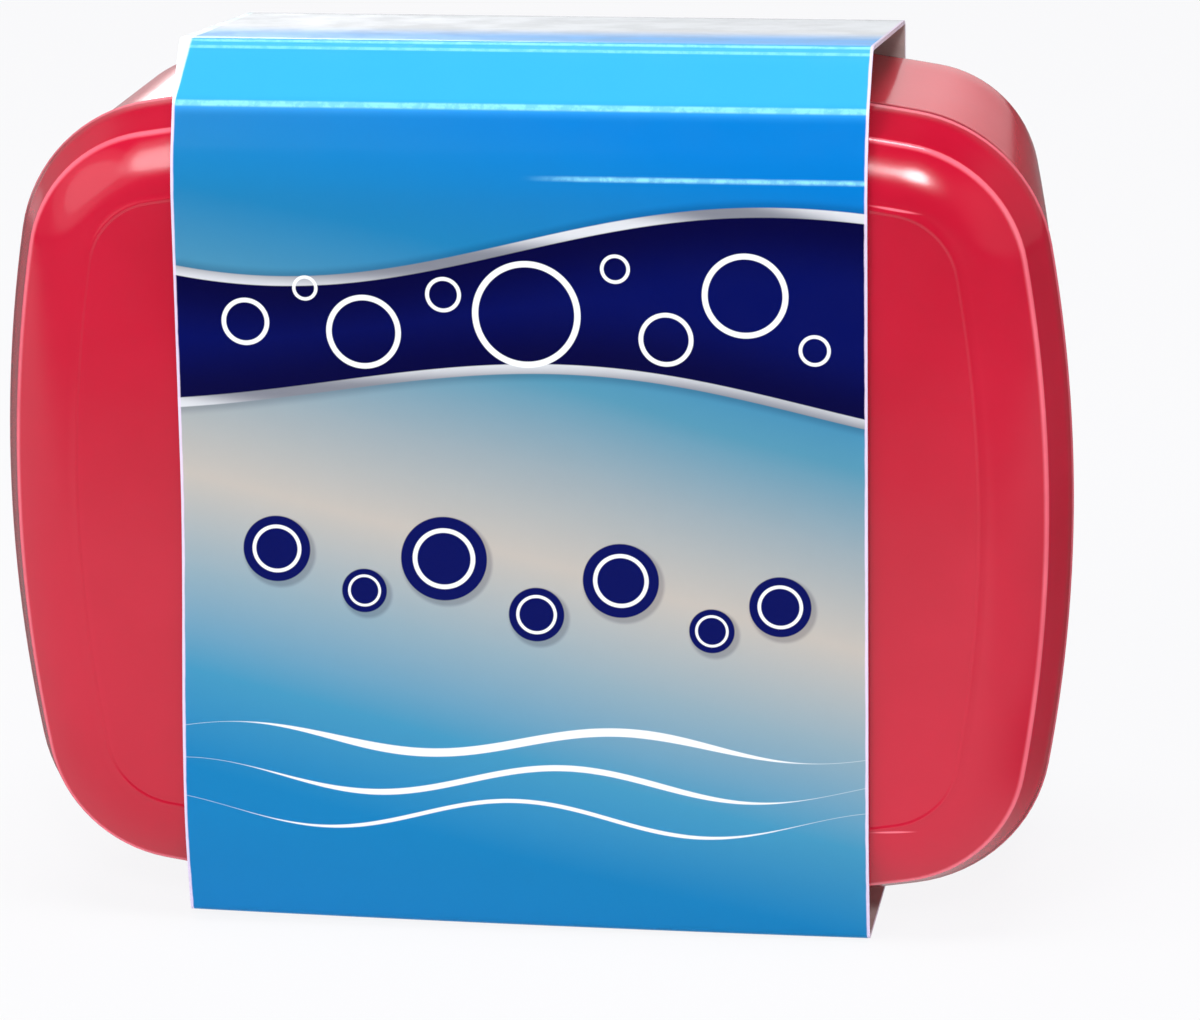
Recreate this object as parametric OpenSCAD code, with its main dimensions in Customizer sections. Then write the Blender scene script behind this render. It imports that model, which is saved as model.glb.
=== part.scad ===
// Hinged denture case with a printed card sleeve around it.
// It stands on a long side, as on a shop shelf: the lid faces -Y, the hinge is at the top
// and the snap catch at the bottom.
// The origin is at the middle of its footprint, on the surface that it stands on.

/* [Case outline] */
// Width of the lid's rim
rim_w = 105; // [85:0.5:130]
// Height of the lid's rim, from the catch side to the hinge side
rim_h = 83.5; // [70:0.5:100]
// Radius of the long sides, which bow out a little
long_r = 230; // [150:5:400]
// Radius of the short sides, which bow out a little
side_r = 150; // [100:5:300]
// Radius of the rim's corners
corner_r = 15.7; // [13:0.1:20]

/* [Lid] */
// Depth of the lid's side wall, from the rim to the front edge
lid_wall_d = 6; // [5:0.1:9]
// How far the side wall leans in over that depth
lid_draft = 2.1; // [1:0.1:3]
// Width of the sloping shoulder between the front edge and the flat face
shoulder_w = 6.1; // [4.5:0.1:8]
// How far the flat face stands in front of the front edge
crown = 2.2; // [1:0.1:2.6]
// Height of the fine bead round the flat face
bead_h = 0.25; // [0.1:0.05:0.3]
// Width of the fine bead round the flat face
bead_w = 0.7; // [0.4:0.1:1]
// Wall thickness of the lid
lid_t = 1.4; // [1.2:0.05:1.6]
// Depth over which the lid's inner wall turns towards the face
inner_turn = 1.2; // [0.8:0.1:1.6]
// Width of the thumb tab under the lid's lower edge
tab_w = 18; // [12:0.5:26]
// Depth of the thumb tab, from the rim forwards
tab_d = 4; // [3:0.1:4.5]
// How far the thumb tab stays inside the rim's outline
tab_in = 0.15; // [0.05:0.05:0.3]

/* [Base] */
// Depth of the base, from the parting line to its flat back
base_d = 30; // [24:0.5:40]
// How far the base's outline lies inside the lid's rim
base_in = 0.5; // [0.3:0.05:0.7]
// Lean of the two short side walls over the base's depth
side_draft = 2.7; // [1:0.1:4]
// Lean of the wall on the hinge side over the base's depth
hinge_draft = 0.3; // [0.1:0.1:1.5]
// Lean of the wall on the catch side over the base's depth
catch_draft = 2; // [0.5:0.1:3]
// Corner radius of the outline at the base's back
back_corner_r = 11.5; // [10:0.1:15]
// Rounding where the walls meet the flat back
back_fillet = 3.5; // [2:0.1:5]
// Wall thickness of the base
base_t = 1.5; // [1.2:0.05:1.8]
// Rounding where the walls meet the floor inside
floor_fillet = 3; // [2:0.1:4.5]

/* [Closure] */
// Gap between the rim of the lid and the rim of the base
rim_gap = 0.3; // [0.2:0.05:0.5]
// How far the base's inner lip reaches into the lid
lip_d = 1.7; // [1.2:0.1:2.2]
// Thickness of the inner lip
lip_t = 0.85; // [0.7:0.05:1]
// Clearance between the inner lip and the lid's wall
lip_gap = 0.35; // [0.3:0.05:0.45]
// How far down the base's inner wall the lip's root reaches
lip_root = 3.4; // [2.6:0.1:4.4]
// Depth over which the lip's root runs out into the plain wall
lip_runout = 1.7; // [1:0.1:2.5]
// Width of the snap bead on the inner lip
snap_w = 16; // [10:0.5:24]
// Radius of the snap bead
snap_r = 0.45; // [0.35:0.05:0.5]
// How far the snap bead's middle is sunk into the lip
snap_sink = 0.15; // [0.1:0.05:0.2]
// Clearance round the snap bead in the lid's groove
snap_gap = 0.15; // [0.1:0.05:0.2]

/* [Hinge] */
// Width of the whole hinge
hinge_w = 48; // [36:1:58]
// Number of knuckles, the first and the last on the base
knuckles = 5; // [3:2:7]
// Outer radius of the knuckles
knuckle_r = 1.45; // [1.4:0.05:1.9]
// Height of the hinge axis above the lid's rim
axis_up = 1.15; // [1.1:0.05:1.5]
// Gap between neighbouring knuckles
knuckle_gap = 0.4; // [0.3:0.05:0.6]
// Depth of the leaf that carries a knuckle, at its foot on the shell
leaf_d = 3.1; // [2.6:0.1:3.4]
// How far the leaves stay behind the rims
leaf_back = 0.15; // [0.1:0.05:0.25]
// Gap between the knuckles and the other shell's wall
knuckle_relief = 0.35; // [0.3:0.05:0.5]
// Radius of the hinge pin
pin_r = 0.75; // [0.7:0.05:1]
// Radial clearance of the pin in the base's knuckles
pin_fit = 0.02; // [0.01:0.01:0.03]
// Radial clearance of the pin in the lid's knuckles
pin_play = 0.08; // [0.05:0.01:0.1]
// Chamfer on the ends of the pin
pin_chamfer = 0.25; // [0.1:0.05:0.4]
// How far each end of the pin stays inside the hinge's end
pin_inset = 0.4; // [0.2:0.1:1]

/* [Card sleeve] */
// Width of the sleeve
sleeve_w = 66.8; // [50:0.2:80]
// Thickness of the card
card_t = 0.4; // [0.3:0.05:0.5]
// Clearance between the card and the case
card_gap = 0.25; // [0.2:0.05:0.4]
// Distance of the two bends in the front panel from the case's edge
bend_in = 8.3; // [7.5:0.1:10]
// How far the upper front fold lies behind the front panel
top_fold_back = 2.1; // [1.8:0.1:2.4]
// How far the lower front fold lies behind the front panel
low_fold_back = 1.3; // [0.8:0.1:1.6]
// How far the upper front fold lies below the lid's rim
top_fold_down = 1.85; // [1.6:0.05:2]
// How far the crease over the hinge lies in front of the axis
crease_front = 2.6; // [2:0.1:2.8]
// Extra room between the knuckles and the crease over them
crease_room = 0.3; // [0.25:0.05:0.6]
// Height of the glued flap inside the back panel
flap_h = 12; // [8:0.5:18]

/* [Hidden] */
$fn = 48;
// Steps on the long, corner and short arcs of a quarter of the outline
steps = [4, 7, 5];
// Steps across the lid's shoulder and round a fillet
shoulder_steps = 5;
fillet_steps = 4;
// Small edge breaks
edge = 0.25;
// How far joined shapes reach into each other
bite = 0.6;

half_h = rim_h / 2;
face_d = lid_wall_d + crown;
front_inset = lid_draft + shoulder_w;
sleeve_front = face_d + bead_h + card_gap + card_t;
sleeve_back = base_d + card_gap + 2 * card_t;
sleeve_low = half_h + card_gap + card_t;
// The parting line's place puts the origin under the middle of the depth
part_y = (sleeve_front - sleeve_back) / 2;
centre_z = sleeve_low;
axis_z = half_h + axis_up;
pitch = hinge_w / knuckles;
ceiling_d = face_d - lid_t;
lip_in = lid_t + lip_gap;
// Lean of the lid's inner wall for each mm of depth
wall_lean = lid_draft / lid_wall_d;
inner_wall_d = lid_wall_d - inner_turn;
// The snap bead's middle, half way up the lip
snap_y = -lip_d / 2;
snap_z = -half_h + lip_in + lip_d / 2 * wall_lean + snap_sink;

// A quarter of the outline, from the middle of the top to the middle of the right side
function quarter(w, h, r_side, r_long, r_corner) =
    let (a = [0, h / 2 - r_long],
        b = [w / 2 - r_side, 0],
        ra = r_long - r_corner,
        rb = r_side - r_corner,
        d = norm(b - a),
        u = (b - a) / d,
        t = (ra * ra - rb * rb + d * d) / (2 * d),
        c = a + t * u + sqrt(ra * ra - t * t) * [u[1], -u[0]],
        end_a = atan2(c[1] - a[1], c[0] - a[0]),
        end_b = atan2(c[1] - b[1], c[0] - b[0]))
    concat(
        [for (i = [0 : steps[0]]) arc_point(a, r_long, 90 + (end_a - 90) * i / steps[0])],
        [for (i = [1 : steps[1]]) arc_point(c, r_corner, end_a + (end_b - end_a) * i / steps[1])],
        [for (i = [1 : steps[2]]) arc_point(b, r_side, end_b * (1 - i / steps[2]))]);

function arc_point(middle, r, angle) = middle + r * [cos(angle), sin(angle)];

// The whole outline, clockwise as seen from the front
function outline(q) =
    let (n = len(q))
    concat(q,
        [for (i = [n - 2 : -1 : 0]) [q[i][0], -q[i][1]]],
        [for (i = [1 : n - 1]) [-q[i][0], -q[i][1]]],
        [for (i = [n - 2 : -1 : 1]) [-q[i][0], q[i][1]]]);

// One ring at depth y, moved in from the rim's outline by its own amount on each side
function ring(y, side, top, low, r_corner) =
    [for (p = outline(quarter(rim_w - 2 * side, rim_h - top - low,
            side_r - side, long_r - (top + low) / 2, r_corner)))
        [p[0], y, p[1] + (low - top) / 2]];

// One ring moved in by the same amount all round
function even_ring(y, inset) = ring(y, inset, inset, inset, corner_r - inset);

// One ring of the base, whose walls lean in by different amounts; more is an extra inset
function base_ring(y, more) =
    let (s = y / base_d)
    ring(y, base_in + side_draft * s + more, base_in + hinge_draft * s + more,
        base_in + catch_draft * s + more,
        corner_r - base_in - (corner_r - base_in - back_corner_r) * s - more);

// A closed skin over a list of rings, with a flat cap on the first and the last
module loft(rings) {
    m = len(rings[0]);
    n = len(rings);
    points = [for (r = rings, p = r) p];
    sides = [for (k = [0 : n - 2], i = [0 : m - 1])
        let (j = (i + 1) % m, a = k * m, b = a + m)
        each [[a + i, b + i, b + j], [a + i, b + j, a + j]]];
    caps = [[for (i = [0 : m - 1]) i], [for (i = [m - 1 : -1 : 0]) (n - 1) * m + i]];
    polyhedron(points, concat(sides, caps), convexity = 6);
}

// Moves what is drawn round the middle of the parting line to its place
module placed() {
    translate([0, part_y, centre_z]) children();
}

// A bar along X with the profile drawn as points of [y, z]
module bar(x, w, profile) {
    translate([x - w / 2, 0, 0]) rotate([90, 0, 90]) linear_extrude(w) polygon(profile);
}

module rod(x, w, r, y, z) {
    translate([x - w / 2, y, z]) rotate([0, 90, 0]) cylinder(h = w, r = r);
}

// How far the bowed long side lies below its middle at x
function bow(x) = long_r - sqrt(long_r * long_r - x * x);

// Middle of each knuckle; even ones are the base's, odd ones the lid's
function knuckle_x(i) = (i - (knuckles - 1) / 2) * pitch;

module knuckle_set(first, side) {
    for (i = [first : 2 : knuckles - 1]) {
        rod(knuckle_x(i), pitch - knuckle_gap, knuckle_r, 0, axis_z);
        // The leaf that carries the knuckle on its shell; side is -1 on the lid and 1 on the base.
        // Its foot reaches the wall at the knuckle's outer end too, and follows the wall's lean.
        near = side < 0 ? -leaf_back : rim_gap + leaf_back;
        foot = half_h - bow(abs(knuckle_x(i)) + pitch / 2) - bite - (side < 0 ? 0 : base_in);
        lean = side < 0 ? wall_lean : hinge_draft / base_d;
        bar(knuckle_x(i), pitch - knuckle_gap, [
            [near, axis_z],
            [side * knuckle_r, axis_z],
            [side * leaf_d, foot - leaf_d * lean],
            [near, foot - abs(near) * lean]]);
    }
}

// Room for the other shell's knuckles
module knuckle_room(first) {
    for (i = [first : 2 : knuckles - 1])
        rod(knuckle_x(i), pitch + knuckle_gap, knuckle_r + knuckle_relief, 0, axis_z);
}

lip_rings = [
    even_ring(lip_root, lip_in + lip_t + lip_d * wall_lean),
    even_ring(-lip_d, lip_in + lip_t + lip_d * wall_lean),
    even_ring(-lip_d, lip_in + edge + lip_d * wall_lean),
    even_ring(edge - lip_d, lip_in + lip_d * wall_lean),
    even_ring(rim_gap, lip_in)];

module base_shell() {
    inner_y = base_d - base_t;
    color([0.78, 0.13, 0.22]) placed() difference() {
        union() {
            loft(concat(
                [for (i = [fillet_steps : -1 : 0])
                    let (a = 90 * i / fillet_steps)
                    base_ring(inner_y - floor_fillet * (1 - sin(a)),
                        base_t + floor_fillet * (1 - cos(a)))],
                [base_ring(lip_root + lip_runout, base_t)],
                lip_rings,
                [base_ring(rim_gap, edge), base_ring(rim_gap + edge, 0)],
                [for (i = [0 : fillet_steps])
                    let (a = 90 * i / fillet_steps)
                    base_ring(base_d - back_fillet * (1 - sin(a)), back_fillet * (1 - cos(a)))]));
            knuckle_set(0, 1);
            rod(0, snap_w, snap_r, snap_y, snap_z);
        }
        knuckle_room(1);
        rod(0, hinge_w + 1, pin_r + pin_fit, 0, axis_z);
    }
}

module lid_shell() {
    bead_in = front_inset + bead_w;
    color([0.8, 0.12, 0.2]) placed() difference() {
        union() {
            loft(concat(
                [even_ring(-face_d, bead_in), even_ring(-face_d - bead_h, bead_in - bead_w / 2)],
                [for (i = [shoulder_steps : -1 : 1])
                    let (s = i / shoulder_steps)
                    even_ring(-lid_wall_d - crown * s * (2 - s), lid_draft + shoulder_w * s)],
                [even_ring(-lid_wall_d, lid_draft + edge),
                    even_ring(edge - lid_wall_d, lid_draft),
                    even_ring(-edge, 0),
                    even_ring(0, edge),
                    even_ring(0, lid_t),
                    even_ring(-inner_wall_d, lid_t + inner_wall_d * wall_lean),
                    even_ring(-lid_wall_d, lid_t + lid_draft + 2 * edge),
                    even_ring(-ceiling_d, front_inset)]));
            knuckle_set(1, -1);
            thumb_tab();
        }
        knuckle_room(0);
        rod(0, hinge_w + 1, pin_r + pin_play, 0, axis_z);
        rod(0, snap_w + 2 * snap_gap, snap_r + snap_gap, snap_y, snap_z);
    }
}

// A ledge for the thumb on the lid's lower wall, flush with the rim
module thumb_tab() {
    low = -half_h + tab_in;
    bar(0, tab_w, [
        [-edge, low],
        [-tab_d + edge, low],
        [-tab_d, low + edge],
        [-tab_d - tab_in, low + tab_d * wall_lean + bite],
        [-edge, low + bite + 2 * edge]]);
}

module hinge_pin() {
    long = hinge_w - 2 * pin_inset;
    color([0.75, 0.76, 0.78]) placed() translate([-long / 2, 0, axis_z]) rotate([0, 90, 0]) union() {
        cylinder(h = pin_chamfer, r1 = pin_r - pin_chamfer, r2 = pin_r);
        translate([0, 0, pin_chamfer]) cylinder(h = long - 2 * pin_chamfer, r = pin_r);
        translate([0, 0, long - pin_chamfer])
            cylinder(h = pin_chamfer, r1 = pin_r, r2 = pin_r - pin_chamfer);
    }
}

// Folds of the sleeve's outside as [y, z], clockwise as seen from the right end
top_front_z = half_h - top_fold_down;
crease_z = axis_z + knuckle_r + card_gap + card_t + crease_room;
back_top_z = half_h - base_in - hinge_draft + card_gap + card_t;
folds = [
    [-sleeve_front + low_fold_back, -sleeve_low],
    [-sleeve_front, -half_h + bend_in],
    [-sleeve_front, half_h - bend_in],
    [-sleeve_front + top_fold_back, top_front_z],
    [-crease_front, crease_z],
    [sleeve_back, back_top_z],
    [sleeve_back, -sleeve_low]];

// Direction square to the side from fold i to the next, pointing into the sleeve
function inward(i) =
    let (a = folds[i], b = folds[(i + 1) % len(folds)], d = (b - a) / norm(b - a))
    [d[1], -d[0]];

// The inside corner at each fold, one card thickness in from both sides
function inside_fold(i) =
    let (p = inward((i + len(folds) - 1) % len(folds)), q = inward(i), s = p + q)
    folds[i] + s * card_t / (s * q);

module card_sleeve() {
    count = len(folds);
    color([0.2, 0.58, 0.85]) placed() union() {
        translate([-sleeve_w / 2, 0, 0]) rotate([90, 0, 90]) linear_extrude(sleeve_w)
            difference() {
                polygon(folds);
                polygon([for (i = [0 : count - 1]) inside_fold(i)]);
            }
        // The glued flap lies against the back panel's inside
        bar(0, sleeve_w, [
            [sleeve_back - card_t, back_top_z - card_t],
            [sleeve_back - 2 * card_t, back_top_z - card_t],
            [sleeve_back - 2 * card_t, back_top_z - flap_h],
            [sleeve_back - card_t, back_top_z - flap_h]]);
    }
}

base_shell();
lid_shell();
hinge_pin();
card_sleeve();
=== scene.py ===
import math
import bmesh
import bpy
from mathutils import Matrix, Vector


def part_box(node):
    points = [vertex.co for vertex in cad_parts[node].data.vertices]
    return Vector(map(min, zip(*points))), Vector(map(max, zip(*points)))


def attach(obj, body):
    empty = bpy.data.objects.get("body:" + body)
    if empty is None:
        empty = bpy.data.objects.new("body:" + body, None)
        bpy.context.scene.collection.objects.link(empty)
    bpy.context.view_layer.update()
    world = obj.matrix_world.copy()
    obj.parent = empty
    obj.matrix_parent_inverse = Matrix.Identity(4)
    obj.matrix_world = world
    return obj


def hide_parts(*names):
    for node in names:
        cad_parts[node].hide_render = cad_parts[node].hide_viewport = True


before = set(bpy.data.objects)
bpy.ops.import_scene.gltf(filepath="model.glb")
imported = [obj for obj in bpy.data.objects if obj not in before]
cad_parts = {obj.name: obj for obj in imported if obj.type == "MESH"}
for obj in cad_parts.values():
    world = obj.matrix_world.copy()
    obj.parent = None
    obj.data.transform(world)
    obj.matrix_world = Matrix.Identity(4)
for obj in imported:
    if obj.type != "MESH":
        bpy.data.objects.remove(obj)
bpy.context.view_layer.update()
print("frame loaded")

viewpoint = {
    "target": (6.29, -10.975, 40.93),   # mm
    "azimuth": 8.35,
    "elevation": 15.43,
    "roll": -0.86,
    "distance": 560.93,   # mm
    "lens": 172.37,
    "sensor": 36.0,
}


def makeCamera(view):
    a, e, r = (math.radians(view[k]) for k in ("azimuth", "elevation", "roll"))
    back = Vector((math.sin(a) * math.cos(e), -math.cos(a) * math.cos(e), math.sin(e)))
    side = Vector((math.cos(a), math.sin(a), 0))
    up = back.cross(side)
    right = side * math.cos(r) + up * math.sin(r)
    top = up * math.cos(r) - side * math.sin(r)
    data = bpy.data.cameras.new("productCamera")
    data.lens = view["lens"]
    data.sensor_width = view["sensor"]
    data.sensor_fit = "HORIZONTAL"
    data.clip_start = 0.01
    data.clip_end = 30
    cam = bpy.data.objects.new("productCamera", data)
    bpy.context.scene.collection.objects.link(cam)
    place = (Vector(view["target"]) + back * view["distance"]) * 0.001
    cam.matrix_world = Matrix.Translation(place) @ Matrix((right, top, back)).transposed().to_4x4()
    bpy.context.scene.camera = cam


makeCamera(viewpoint)
print("camera placed")

rim = {
    "width": 105.0, "height": 83.5,
    "longR": 230.0, "sideR": 150.0, "cornerR": 15.7,
    "steps": (16, 16, 12),   # long arc, corner, side arc, on a quarter
    "dish": 0.02,   # neighbouring loops never share a plane, or the bridge between them may cross itself
    "planeY": -10.975, "middleZ": 42.4,   # where the lid meets the base, and the rim's middle
}


def spot(x, y, z):
    # a point counted from the middle of the parting plane
    return Vector((x, y + rim["planeY"], z + rim["middleZ"])) * 0.001


def outlineLoop(bm, y, side, top, low, cornerR):
    # one closed outline of tangent arcs; side, top and low are how far it lies inside the rim
    w, h = rim["width"] - 2 * side, rim["height"] - top - low
    sideR, longR = rim["sideR"] - side, rim["longR"] - (top + low) / 2
    shift = (low - top) / 2
    a, b = Vector((0, h / 2 - longR)), Vector((w / 2 - sideR, 0))
    ra, rb = longR - cornerR, sideR - cornerR
    d = (b - a).length
    u = (b - a) / d
    t = (ra * ra - rb * rb + d * d) / (2 * d)
    c = a + u * t + Vector((u.y, -u.x)) * math.sqrt(ra * ra - t * t)
    endA = math.atan2(c.y - a.y, c.x - a.x)
    endB = math.atan2(c.y - b.y, c.x - b.x)
    geom = [bm.verts.new(spot(0, y, h / 2 + shift))]
    last = geom
    turns = ((a, math.pi / 2 - endA), (c, endA - endB), (b, endB))
    for (centre, angle), steps in zip(turns, rim["steps"]):
        before = set(bm.verts) | set(bm.edges)
        done = bmesh.ops.spin(bm, geom=last, cent=spot(centre.x, y, centre.y + shift), axis=(0, 1, 0),
                              angle=angle, steps=steps)
        last = [v for v in done["geom_last"] if isinstance(v, bmesh.types.BMVert)]
        geom = geom + [g for g in list(bm.verts) + list(bm.edges) if g not in before]
    for axis in "XZ":
        before = set(bm.verts) | set(bm.edges)
        bmesh.ops.mirror(bm, geom=geom, matrix=Matrix.Translation(-spot(0, y, shift)), axis=axis)
        geom = [g for g in geom if g.is_valid]
        geom += [g for g in list(bm.verts) + list(bm.edges) if g not in before]
    points = [g for g in geom if isinstance(g, bmesh.types.BMVert)]
    bmesh.ops.remove_doubles(bm, verts=points, dist=1e-6)
    return list(dict.fromkeys(e for v in points if v.is_valid for e in v.link_edges))


def evenLoop(bm, y, inset):
    return outlineLoop(bm, y, inset, inset, inset, rim["cornerR"] - inset)


def quarterTurn(radius, steps):
    # a rounded corner, as how far each point lies from either side: (radius, 0) first and (0, radius) last
    turns = [math.pi / 2 * k / steps for k in range(steps + 1)]
    return [(radius * (1 - math.sin(t)), radius * (1 - math.cos(t))) for t in turns]


def bridgeAll(bm, loops):
    for one, two in zip(loops, loops[1:]):
        bmesh.ops.bridge_loops(bm, edges=one + two)


def capLoop(bm, loop):
    return bmesh.ops.contextual_create(bm, geom=loop)["faces"]


def drawOut(part, length):
    # the flat faces drawn so far become a solid, length mm long towards +X
    grown = bmesh.ops.extrude_face_region(part, geom=list(part.faces), use_keep_orig=True)
    moved = [v for v in grown["geom"] if isinstance(v, bmesh.types.BMVert)]
    bmesh.ops.translate(part, verts=moved, vec=(length * 0.001, 0, 0))
    bmesh.ops.recalc_face_normals(part, faces=part.faces)


def acrossX(edge):
    return abs(edge.verts[0].co.x - edge.verts[1].co.x) < 1e-7


def addPart(bm, part):
    spare = bpy.data.meshes.new("spare")
    part.to_mesh(spare)
    part.free()
    bm.from_mesh(spare)
    bpy.data.meshes.remove(spare)


def finishMesh(bm, name, sharpAngle=38):
    # one clean, outward facing, smooth shaded object at the origin
    bmesh.ops.remove_doubles(bm, verts=bm.verts, dist=2e-6)
    bmesh.ops.recalc_face_normals(bm, faces=bm.faces)
    for f in bm.faces:
        f.smooth = True
    for e in bm.edges:
        e.smooth = not (e.is_manifold and e.calc_face_angle(0) > math.radians(sharpAngle))
    mesh = bpy.data.meshes.new(name)
    bm.to_mesh(mesh)
    bm.free()
    obj = bpy.data.objects.new(name, mesh)
    bpy.context.scene.collection.objects.link(obj)
    return obj


hinge = {
    "width": 48.0, "count": 5, "radius": 1.45, "bore": 0.8, "axisUp": 1.15, "gap": 0.4,
    "leafDepth": 3.1, "leafBack": 0.15, "bite": 0.6,   # bite is how deep the leaf's foot sits in the shell
    "endRound": 0.12, "sharpFrom": 68.75,   # the ends' edges are rounded where they turn by more degrees
}


def addKnuckles(bm, first, side, wallInset, lean):
    # one shell's knuckles, each with the leaf that carries it; side is -1 on the lid and 1 on the base
    pitch = hinge["width"] / hinge["count"]
    length = pitch - hinge["gap"]
    axisZ = rim["height"] / 2 + hinge["axisUp"]
    r = hinge["radius"]
    near = hinge["leafBack"] + (base["rimGap"] if side > 0 else 0)
    for i in range(first, hinge["count"], 2):
        x = (i - (hinge["count"] - 1) / 2) * pitch
        left = x - length / 2
        end = abs(x) + pitch / 2
        bow = rim["longR"] - math.sqrt(rim["longR"] ** 2 - end ** 2)
        foot = rim["height"] / 2 - bow - hinge["bite"] - wallInset
        part = bmesh.new()
        start = part.verts.new(spot(left, side * r, axisZ))
        turn = 1.5 * math.pi - math.asin(near / r)
        bmesh.ops.spin(part, geom=[start], cent=spot(left, 0, axisZ), axis=(1, 0, 0), angle=side * turn,
                       steps=28)
        ends = [v for v in part.verts if len(v.link_edges) == 1 and v is not start]
        corners = [part.verts.new(spot(left, side * y, foot - y * lean)) for y in (near, hinge["leafDepth"])]
        chain = [ends[0]] + corners + [start]
        for one, two in zip(chain, chain[1:]):
            part.edges.new((one, two))
        outer = list(part.edges)
        turned = Matrix.Translation(spot(left, 0, axisZ)) @ Matrix.Rotation(math.pi / 2, 4, "Y")
        ring = bmesh.ops.create_circle(part, segments=32, radius=hinge["bore"] * 0.001, matrix=turned)
        inner = list(dict.fromkeys(e for v in ring["verts"] for e in v.link_edges))
        bmesh.ops.bridge_loops(part, edges=outer + inner)
        drawOut(part, length)
        sharp = math.radians(hinge["sharpFrom"])
        rims = [e for e in part.edges if e.calc_face_angle(0) > sharp and acrossX(e)]
        bmesh.ops.bevel(part, geom=rims, offset=hinge["endRound"] * 0.001, segments=2, profile=0.5,
                        affect="EDGES", material=-1, clamp_overlap=True)
        addPart(bm, part)


lid = {
    "wallDepth": 6.0, "draft": 2.1, "shoulder": 6.1, "crown": 2.2, "wall": 1.4, "innerTurn": 1.2,
    "wallRows": (0.3, 0.6, 0.85),   # shares of the wall's depth where it has a loop
    "edgeRound": 0.25, "edgeSteps": 3,
    "frontTurn": 0.3, "frontUp": 0.8, "frontSteps": 5,   # the front edge, and its share on the shoulder
    "shoulderSteps": 10,
    "beadHeight": 0.07, "beadWidth": 0.5, "beadSteps": 4, "beadFullness": 0.9,
    "faceInsets": (0.1, 1.5),   # loops just inside the bead keep the shading of the face flat
}
lidLean = lid["draft"] / lid["wallDepth"]


def lidProfile():
    # (y, inset) from the middle of the ceiling inside, round the rim, to the flat face
    faceY = -lid["wallDepth"] - lid["crown"]
    faceIn = lid["draft"] + lid["shoulder"]
    r = lid["edgeRound"]
    straight = lid["wallDepth"] - lid["innerTurn"]
    rows = [(faceY + lid["wall"], faceIn), (-lid["wallDepth"], lid["wall"] + lid["draft"] + 2 * r),
            (-straight, lid["wall"] + straight * lidLean), (-rim["dish"], lid["wall"])]
    rows += [(-away, inset) for inset, away in quarterTurn(r, lid["edgeSteps"])]
    rows += [(-lid["wallDepth"] * s, lid["draft"] * s) for s in lid["wallRows"]]
    down, up = lid["frontTurn"], lid["frontTurn"] * lid["frontUp"]
    slope = 2 * lid["crown"] / lid["shoulder"]
    wallEnd = Vector((-lid["wallDepth"] + down, lid["draft"] - down * lidLean))
    corner = Vector((-lid["wallDepth"], lid["draft"]))
    slopeEnd = Vector((-lid["wallDepth"] - up * slope, lid["draft"] + up))
    for k in range(lid["frontSteps"] + 1):
        t = k / lid["frontSteps"]
        p = wallEnd * (1 - t) ** 2 + corner * 2 * t * (1 - t) + slopeEnd * t * t
        rows.append((p.x, p.y))
    for k in range(1, lid["shoulderSteps"] + 1):
        s = k / lid["shoulderSteps"]
        if lid["shoulder"] * s > down:
            rows.append((-lid["wallDepth"] - lid["crown"] * s * (2 - s), lid["draft"] + lid["shoulder"] * s))
    for k in range(1, lid["beadSteps"] + 1):
        t = k / lid["beadSteps"]
        rise = lid["beadHeight"] * math.sin(math.pi * t) ** lid["beadFullness"]
        rows.append((faceY - rise, faceIn + lid["beadWidth"] * t))
    return rows


def makeLid():
    bm = bmesh.new()
    loops = [evenLoop(bm, y, inset) for y, inset in lidProfile()]
    bridgeAll(bm, loops)
    capLoop(bm, loops[0])
    face = capLoop(bm, loops[-1])
    for width in lid["faceInsets"]:
        bmesh.ops.inset_region(bm, faces=face, thickness=width * 0.001)
    addKnuckles(bm, 1, -1, 0, lidLean)
    addThumbTab(bm)
    return finishMesh(bm, "lidShell")


thumbTab = {
    "width": 18.0, "back": 0.25, "front": 4.0,   # back and front count from the parting plane
    "inside": 0.15,   # how far it stays inside the rim
    "rootRise": 1.1, "lipRise": 0.6,   # how high it reaches at its back, and over the wall at its front
    "round": 0.22,
}


def addThumbTab(bm):
    half, low = thumbTab["width"] / 2, -rim["height"] / 2 + thumbTab["inside"]
    back, front = -thumbTab["back"], -thumbTab["front"]
    lipTop = low + thumbTab["front"] * lidLean + thumbTab["lipRise"]
    rootTop = low + thumbTab["rootRise"]
    profile = [(back, low), (front, low), (front - thumbTab["inside"], lipTop), (back, rootTop)]
    part = bmesh.new()
    part.faces.new([part.verts.new(spot(-half, y, z)) for y, z in profile])
    drawOut(part, thumbTab["width"])
    nearFront = min(v.co.y for v in part.verts) + 0.0003
    nearLow = spot(0, 0, low + 0.01).z
    lips = [e for e in part.edges if all(v.co.z < nearLow for v in e.verts)
            or (acrossX(e) and all(v.co.y < nearFront for v in e.verts))]
    bmesh.ops.bevel(part, geom=lips, offset=thumbTab["round"] * 0.001, segments=3, profile=0.5,
                    affect="EDGES", material=-1)
    addPart(bm, part)


base = {
    "depth": 30.0, "inset": 0.5, "sideDraft": 2.7, "hingeDraft": 0.3, "catchDraft": 2.0, "wall": 1.5,
    "wallRows": (3, 7, 11, 15, 19, 23),   # how far behind the parting plane the outer wall has a loop
    "backCornerR": 11.5, "backFillet": 3.5, "filletSteps": 10, "floorFillet": 3.0, "floorSteps": 7,
    "rimGap": 0.3, "lipDepth": 1.7, "lipWall": 0.85, "lipGap": 0.35, "lipRoot": 3.4, "lipRunout": 1.7,
    "edgeRound": 0.45, "edgeSteps": 3,
}


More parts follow.
